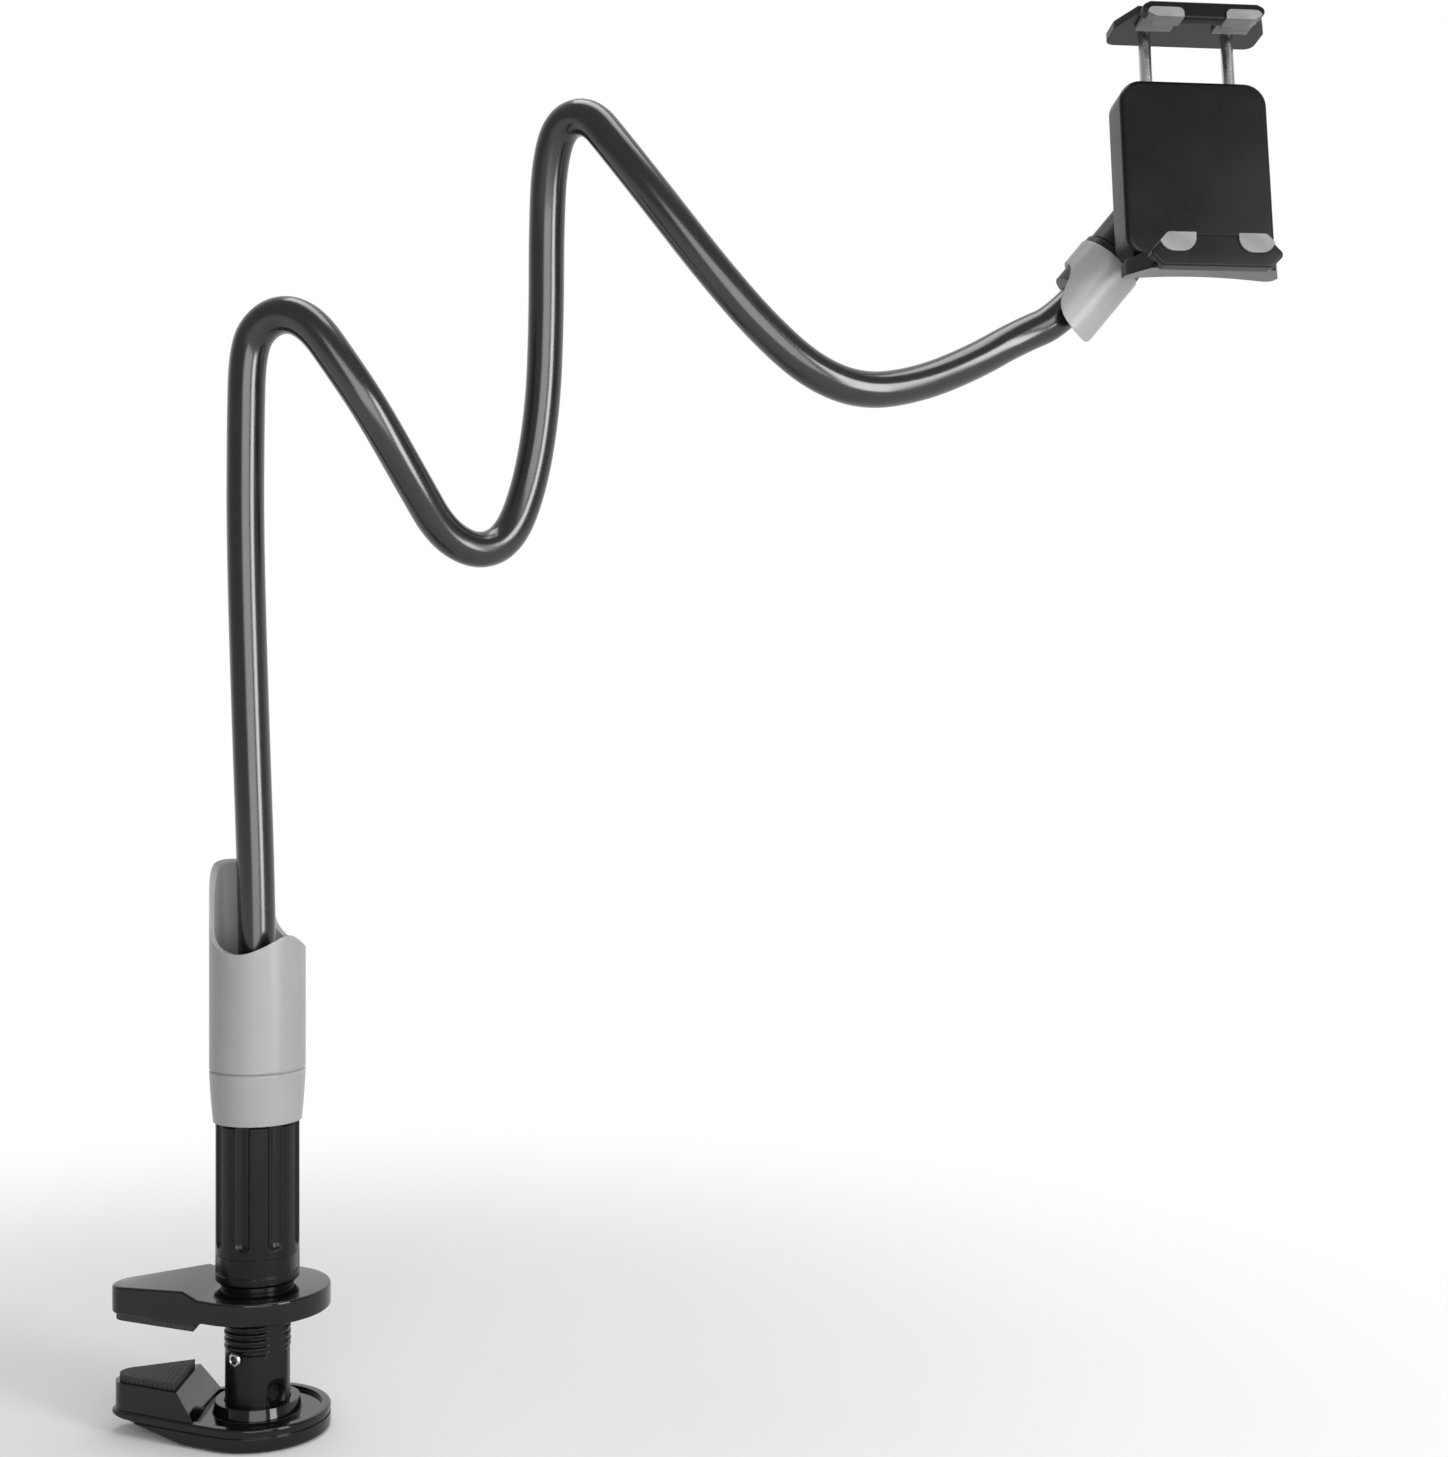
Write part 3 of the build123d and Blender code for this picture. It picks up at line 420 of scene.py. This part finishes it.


# Sleeves. Satin grey tubes over both ends of the arm, scooped away on one side so that it can bend.
# The grey is moulded through, with a fine even grain and a soft sheen; its rims are painted paler, a painted
# edge highlight with a little rubbing.
sleeve_look = {"grain_depth": 0.01, "edge_mm": 0.6, "edge_wear_and_highlight": 1.5, "ior": 1.45}
sleeve_grey = moulded("sleeve_plastic", (0.28, 0.28, 0.28), 0.33, **sleeve_look)
dress(sleeve_grey, "base_sleeve_ring", "base_sleeve", "head_sleeve")


# Gooseneck. A soft metal rod in a glossy black jacket: bent by hand, it stays where it is put.
# The jacket is smooth and shiny, with a faint orange peel and a few dull finger marks.
def arm_line():
    """The arm's route as a smooth line, from the plug in the base to the socket at the head."""
    corners = [
        (0, 0, 0), (0, 0, 42), (-2.2, 0, 103), (-3.7, 0, 155), (-3.6, 0, 188), (-2.7, -1.5, 211.8),
        (2.6, -4.4, 219.2), (10.4, -7, 221.4), (18.4, -8.8, 217.4), (26.5, -9.3, 206), (35.5, -8, 192.5),
        (46, 1, 172.5), (53.4, 10.6, 158), (63.6, 17.6, 152.6), (72.6, 24, 158), (78.6, 27.8, 176),
        (82.3, 28, 200), (83.6, 24.6, 226), (84, 20.8, 252), (85.4, 15, 271.5), (89.4, 10.6, 282.6),
        (98.4, 5, 283.4), (106.4, 1.4, 272.8), (120, -2, 254.8), (135, -2, 235.5), (150.5, 0, 218),
        (165.5, 3, 205.3), (181, 9, 200.6), (198.5, 17, 204.4), (216, 25, 212.6), (230.5, 30, 221.4),
        (245, 31, 227.6), (259.8, 31, 245.4),
    ]
    foot_z, arm_r = 92.1, 5.5
    line = bpy.data.curves.new("arm_line", "CURVE")
    line.dimensions = "3D"
    run = line.splines.new("NURBS")
    run.points.add(len(corners) - 1)
    for point, (x, y, z) in zip(run.points, corners):
        point.co = (x / 1000, y / 1000, (z + foot_z) / 1000, 1)
    run.order_u = 3
    run.use_endpoint_u = True
    run.resolution_u = 16
    line.bevel_depth = arm_r / 1000
    line.bevel_resolution = 10
    line.use_fill_caps = True
    return line


def jacket_finish():
    """Glossy soft plastic with orange peel and finger marks."""
    material, start, place = new_finish("jacket_plastic")
    peel = start.noise(place, 2.2, 1.0)
    marks = start.noise(place, 9.0)
    tone = start.mix(marks, [0.002, 0.002, 0.0021, 1.0], [0.005, 0.005, 0.0052, 1.0])
    bump = start.node("ShaderNodeBump", None, {
        "Strength": 0.1,
        "Distance": 0.00002,
        "Height": peel,
    })
    gloss = 0.21 + (marks - 0.5) * 0.08
    close_finish(start, {"Base Color": tone, "Roughness": gloss, "Normal": bump, "IOR": 1.65})
    return material


arm_jacket = bpy.data.objects.new("arm_tube", arm_line())
bpy.context.collection.objects.link(arm_jacket)
arm_jacket = as_plain_mesh(arm_jacket)
arm_jacket.data.materials.clear()
arm_jacket.data.materials.append(jacket_finish())
arm_jacket.data.shade_smooth()
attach(arm_jacket, "arm")
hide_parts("arm_jacket")
dress(drawn_steel("rod_metal", (0.66, 0.66, 0.68), 0.35, (3.0, 3.0, 0.5)), "arm_core")


# Ball joint. A ball on the clip's neck sits in a split cup, and a ribbed nut closes the cup on it.
# All three are black plastic: the ball polished, the cup plain, the nut satin with grip scallops.
dress(moulded("cup_plastic", (0.006, 0.006, 0.006), 0.36), "ball_socket")
dress(moulded("nut_plastic", (0.007, 0.007, 0.0073), 0.3, edge_mm=0.3), "lock_nut")
ball_look = {"grain_mm": 0.9, "grain_depth": 0.008, "edge_mm": 0.3}
dress(moulded("ball_plastic", (0.006, 0.006, 0.0063), 0.2, **ball_look), "ball_stud")


# Clip. A housing with a screwed back cover, and a jaw at each end, moulded in satin black.
# The lower jaw is fixed to the housing and the upper one slides. The cover has a coarser grain.
clip_black = moulded("clip_plastic", (0.003, 0.003, 0.0032), 0.3, grain_mm=0.9, edge_mm=0.4)
dress(clip_black, "clip_housing", "lower_clip_jaw", "upper_clip_jaw")
cover_look = {"grain_mm": 0.7, "grain_depth": 0.03, "edge_mm": 0.4}
dress(moulded("cover_plastic", (0.007, 0.007, 0.0073), 0.42, **cover_look), "clip_back_cover")


# Clip pads. Four grey rubber pads, wrapped over the jaws' lips and glued there.
# Fine ribs run across the side that grips.
pad_ribs = {"rib_mm": 1.2, "axis": "Y", "depth_mm": 0.08}
pad_rubber = ribbed_rubber("pad_rubber", (0.17, 0.17, 0.174), roughness=0.6, **pad_ribs)
dress(pad_rubber, *[f"{jaw}_clip_pad_{side}" for jaw in ("lower", "upper") for side in ("left", "right")])


# Guide rods and springs. Two plated rods carry the upper jaw, and a wire spring on each pulls it shut.
# Rods and wire keep fine lines from the die they were drawn through. The rods' heads press the
# springs together in their channels as the clip opens.
def on_points(start, given, model, material):
    """Ends geometry nodes with a model on each point, turned along the given way."""
    placed = start.node("GeometryNodeInstanceOnPoints", None, {
        "Points": given["Geometry"],
        "Instance": model,
        "Rotation": start.node("FunctionNodeAlignRotationToVector", {"axis": "Z"}, {"Vector": given["Way"]}),
    })
    real = start.node("GeometryNodeRealizeInstances", None, {"Geometry": placed})
    made = start.node("GeometryNodeSetMaterial", None, {"Geometry": real, "Material": material})
    start.node("NodeGroupOutput", None, {"Geometry": made})


def coil_pattern(material):
    """Geometry nodes that stand a coil of wire on each point of a mesh."""
    sizes = {"Turns": "Float", "Coil": "Float", "Wire": "Float", "Length": "Float"}
    start, given, named = shape_nodes("coil_pattern", **sizes, Way="Vector")
    line = start.node("GeometryNodeCurveSpiral", None, {
        "Resolution": 24,
        "Rotations": given["Turns"],
        "Start Radius": given["Coil"],
        "End Radius": given["Coil"],
        "Height": given["Length"],
    })
    wire = start.node("GeometryNodeCurvePrimitiveCircle", None, {"Resolution": 8, "Radius": given["Wire"]})
    coil = start.node("GeometryNodeCurveToMesh", None, {
        "Curve": line,
        "Profile Curve": wire,
        "Fill Caps": True,
    })
    on_points(start, given, coil, material)
    return start.tree, named


dress(bright_steel, "guide_rod_left", "guide_rod_right")
spring_wire = drawn_steel("spring_wire", (0.5, 0.5, 0.5), 0.35, (3.0, 3.0, 3.0))
slide_way = Vector((-0.01745, 0.13915, 0.99012))
spring_feet = [(0.26819, 0.0098, 0.35129), (0.29404, 0.01255, 0.35136)]
spring_len = 0.0295
feet = bmesh.new()
for foot in spring_feet:
    feet.verts.new(foot)
springs = as_piece("clip_springs", feet, spring_wire)
coil_sizes = {"Turns": 6.0, "Coil": 0.00275, "Wire": 0.0004, "Length": spring_len}
apply_shape(springs, *coil_pattern(spring_wire), Way=slide_way, **coil_sizes)
springs = as_plain_mesh(springs)
springs.data.shade_smooth()
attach(springs, "clip")
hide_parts("clip_spring_left", "clip_spring_right")
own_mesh(springs)


# Cover screws. Four small pan-head screws of blackened steel hold the clip's back cover.
# Each has a cross recess, and its head sits in a round pocket.
def screw_pattern(screw, material):
    """Geometry nodes that put a screw on each point of a mesh."""
    start, given, named = shape_nodes("screw_pattern", Way="Vector")
    model = start.node("GeometryNodeObjectInfo", None, {"Object": screw}, "Geometry")
    on_points(start, given, model, material)
    return start.tree, named


screw = as_piece("screw", turned([
    (0, 0), (1.3, 0), (1.7, -0.15), (1.9, -0.5), (1.9, -1.2),
    (1.1, -1.2), (1.1, -6.9), (0.8, -7.2), (0, -7.2),
]), black_steel)
recess_long, recess_wide, recess_deep = 0.0022, 0.0005, 0.0014
for across, along in ((recess_wide, recess_long), (recess_long, recess_wide)):
    recess = bmesh.new()
    bmesh.ops.create_cube(recess, size=1)
    bmesh.ops.scale(recess, vec=(across, along, recess_deep), verts=recess.verts)
    screw = cut_away(screw, as_piece("recess", recess, black_steel))
clip_back = Vector((-0.10451, 0.98459, -0.14022))
screw_half = 0.0036
heads = bmesh.new()
for number in range(1, 5):
    low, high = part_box(f"cover_screw_{number}")
    heads.verts.new((Vector(low) + Vector(high)) / 2 + clip_back * screw_half)
cover_screws = as_piece("cover_screws", heads, black_steel)
apply_shape(cover_screws, *screw_pattern(screw, black_steel), Way=clip_back)
cover_screws = as_plain_mesh(cover_screws)
bpy.data.objects.remove(screw)
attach(cover_screws, "clip")
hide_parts("cover_screw_1", "cover_screw_2", "cover_screw_3", "cover_screw_4")


# Studio. A pale paper floor that is white around the part, in a room that is white behind it.
# Two soft boxes stand at the front and right, one hangs above, and the camera stands level in front.
room_grey = [0.42, 0.42, 0.42, 1.0]
room_white = [1.0, 1.0, 1.0, 1.0]


def seen(start):
    """1 for rays that show the room, straight or by reflection, and 0 for those that light the part."""
    rays = start.node("ShaderNodeLightPath", output="Is Camera Ray")
    rays = rays + start.node("ShaderNodeLightPath", output="Is Glossy Ray")
    return (rays + start.node("ShaderNodeLightPath", output="Is Transmission Ray")).clamp()


def eased(start, value, low, high):
    """0 below the low end and 1 above the high end, with a smooth step between."""
    ends = {"Value": value, "From Min": low, "From Max": high}
    return start.node("ShaderNodeMapRange", {"interpolation_type": "SMOOTHSTEP"}, ends)


def room_tone(start, way):
    """The room's colour in one direction: white at the back, grey at the front."""
    back = start.node("ShaderNodeSeparateXYZ", None, {0: way}, "Y")
    return start.mix(eased(start, back, -0.1, 0.75), room_grey, room_white)


def paper_finish():
    """Pale paper that keeps the shadow near the part, then fades to white and far off to the room."""
    shadow_ends, haze_ends = (0.1, 0.45), (0.8, 4.0)
    material, start, place = new_finish("pale_paper")
    reach = start.node("ShaderNodeVectorMath", {"operation": "LENGTH"}, {0: place}, "Value")
    way = start.node("ShaderNodeVectorMath", {"operation": "NORMALIZE"}, {0: place})
    tone = start.mix(eased(start, reach, *haze_ends), room_white, room_tone(start, way))
    paint = start.node("ShaderNodeBsdfDiffuse", None, {"Color": (0.8, 0.8, 0.8, 1)})
    glow = start.node("ShaderNodeEmission", None, {"Color": tone, "Strength": 1.0})
    share = eased(start, reach, *shadow_ends) * seen(start)
    shown = start.node("ShaderNodeMixShader", None, {0: share, 1: paint, 2: glow})
    start.node("ShaderNodeOutputMaterial", None, {"Surface": shown})
    return material


floor_half = 12
floor_gap = 0.0002
floor_z = cad_box[0][2] - floor_gap
paper = bmesh.new()
corners = [(-1, -1), (1, -1), (1, 1), (-1, 1)]
paper.faces.new([paper.verts.new((x * floor_half, y * floor_half, floor_z)) for x, y in corners])
as_piece("paper", paper, paper_finish())

room = bpy.data.worlds.new("room")
bpy.context.scene.world = room
room.use_nodes = True
room.node_tree.nodes.clear()
walls = Signal(room.node_tree)
look = walls.node("ShaderNodeTexCoord", output="Generated")
fill = walls.node("ShaderNodeBackground", None, {"Color": room_white, "Strength": 0.35})
wall = walls.node("ShaderNodeBackground", None, {"Color": room_tone(walls, look), "Strength": 1.0})
shown = walls.node("ShaderNodeMixShader", None, {0: seen(walls), 1: fill, 2: wall})
walls.node("ShaderNodeOutputWorld", None, {"Surface": shown})


def soft_box(name, place, width, height, watts):
    """A rectangular lamp that faces the part and is hidden from the camera."""
    target = Vector((0.1, 0.0, 0.22))
    lamp = bpy.data.lights.new(name, "AREA")
    lamp.shape = "RECTANGLE"
    lamp.size = width
    lamp.size_y = height
    lamp.energy = watts
    box = bpy.data.objects.new(name, lamp)
    box.location = place
    box.rotation_euler = (target - Vector(place)).to_track_quat("-Z", "Y").to_euler()
    box.visible_camera = False
    bpy.context.collection.objects.link(box)


soft_box("front_box", (0.27, -1.05, 0.3), 0.86, 0.8, 8.4)
soft_box("key_box", (0.88, -0.63, 0.3), 0.34, 0.8, 9.5)
soft_box("top_box", (0.15, 0.1, 1.1), 0.8, 0.4, 4.5)

focal_px, frame_px, sensor_mm = 1950, 1457, 36
camera = bpy.data.cameras.new("camera")
camera.lens = focal_px / frame_px * sensor_mm
camera.sensor_width = sensor_mm
camera.clip_start = 0.01
eye = bpy.data.objects.new("camera", camera)
eye.location = (0.1387, -0.58, 0.1912)
eye.rotation_euler = (pi / 2, 0, 0)
bpy.context.collection.objects.link(eye)
bpy.context.scene.camera = eye
bpy.context.scene.view_settings.view_transform = "Standard"
